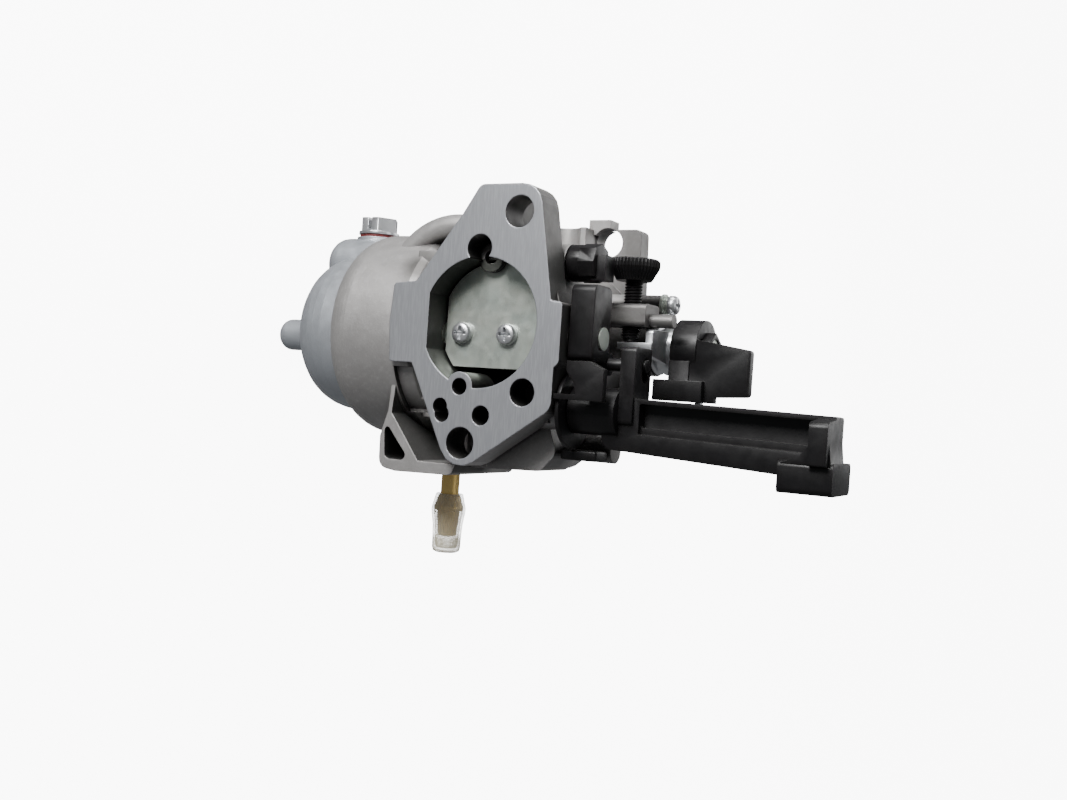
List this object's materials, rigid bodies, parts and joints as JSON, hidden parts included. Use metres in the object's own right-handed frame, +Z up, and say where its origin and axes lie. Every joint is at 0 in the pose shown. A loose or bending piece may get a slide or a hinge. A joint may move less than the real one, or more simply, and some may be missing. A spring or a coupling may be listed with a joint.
{
  "type": "carburetor",
  "caption": "Horizontal-throat float carburetor for a small engine, with a long black choke control lever, throttle lever, idle screw, float bowl and brass fuel inlet.",
  "frame": {"origin": "midway between the two stud holes, on the engine face", "axes": "+Y along the throat towards the engine, +Z up and away from the float bowl, +X towards the fuel inlet"},
  "size_m": [0.1012, 0.062, 0.1823],
  "materials": {
    "cast_aluminium": "die-cast, satin, machined on its two flange faces",
    "bowl_metal": "satin, slightly bluish",
    "plate_zinc": "zinc plated, satin",
    "bright_zinc": "bright plated",
    "brass": "turned, bright",
    "black_plastic": "moulded, satin",
    "black_rubber": "matte",
    "red_fibre": "pressed fibre",
    "clear_cap": "translucent, soft"
  },
  "bodies": {
    "body": {"main_body": "cast_aluminium", "float_bowl": "bowl_metal", "bowl_gasket": "black_rubber", "bowl_bolt": "bowl_metal", "bowl_bolt_washer": "red_fibre", "drain_bolt": "bright_zinc", "drain_washer": "red_fibre", "inlet_nipple": "brass", "inlet_cap": "clear_cap", "needle_seat": "brass", "float_hinge_pin": "bright_zinc", "main_jet": "brass", "emulsion_tube": "brass", "pilot_jet": "brass", "vent_tube": "cast_aluminium", "lever_pivot_pin": "plate_zinc", "lever_disc": "black_rubber", "detent_foot": "black_plastic", "throttle_bushing": "bright_zinc", "top_screw": "bright_zinc", "top_washer": "plate_zinc", "core_plug": "plate_zinc"},
    "choke": {"choke_shaft": "plate_zinc", "choke_plate": "plate_zinc", "choke_plate_screws": "bright_zinc", "choke_hub": "black_plastic"},
    "control": {"control_lever": "black_plastic"},
    "throttle": {"throttle_shaft": "plate_zinc", "throttle_plate": "brass", "throttle_plate_screws": "bright_zinc", "throttle_stop_arm": "bright_zinc", "throttle_lever": "black_plastic", "lever_nut": "black_plastic", "link_pin": "bright_zinc"},
    "float": {"float": "black_plastic"},
    "needle": {"float_needle": "brass"},
    "idle_screw": {"idle_stop_screw": "black_plastic"},
    "mixture_screw": {"pilot_screw": "brass", "pilot_cap": "black_plastic"}
  },
  "joints": [
    {"name": "control_turn", "type": "hinge", "parent": "body", "child": "control", "pos_m": [0.0195, -0.05, 0.0325], "axis": [0, 0, 1], "range_deg": [0, 43]},
    {"name": "choke_turn", "type": "hinge", "parent": "body", "child": "choke", "pos_m": [0.001, -0.0514, -0.0035], "axis": [0, 0, 1], "range_deg": [-62, 0]},
    {"name": "throttle_turn", "type": "hinge", "parent": "body", "child": "throttle", "pos_m": [0.0015, -0.019, -0.0035], "axis": [0, 0, 1], "range_deg": [0, 75]},
    {"name": "float_swing", "type": "hinge", "parent": "body", "child": "float", "pos_m": [0.0225, -0.0335, -0.0365], "axis": [0, -1, 0], "range_deg": [0, 6]},
    {"name": "needle_slide", "type": "slide", "parent": "body", "child": "needle", "axis": [0, 0, -1], "range_m": [0, 0.0008]},
    {"name": "idle_screw_turn", "type": "hinge", "parent": "body", "child": "idle_screw", "pos_m": [-0.0065, -0.034, 0.0277], "axis": [1, 0, 0], "range_deg": [-180, 180]},
    {"name": "mixture_screw_turn", "type": "hinge", "parent": "body", "child": "mixture_screw", "pos_m": [-0.0191, -0.0462, 0.0165], "axis": [0, 0, 1], "range_deg": [-60, 60]}
  ],
  "couplings": [
    {"joint": "choke_turn", "follows": "control_turn", "ratio": -1.4419},
    {"joint": "needle_slide", "follows": "float_swing", "m_per_rad": 0.007}
  ]
}
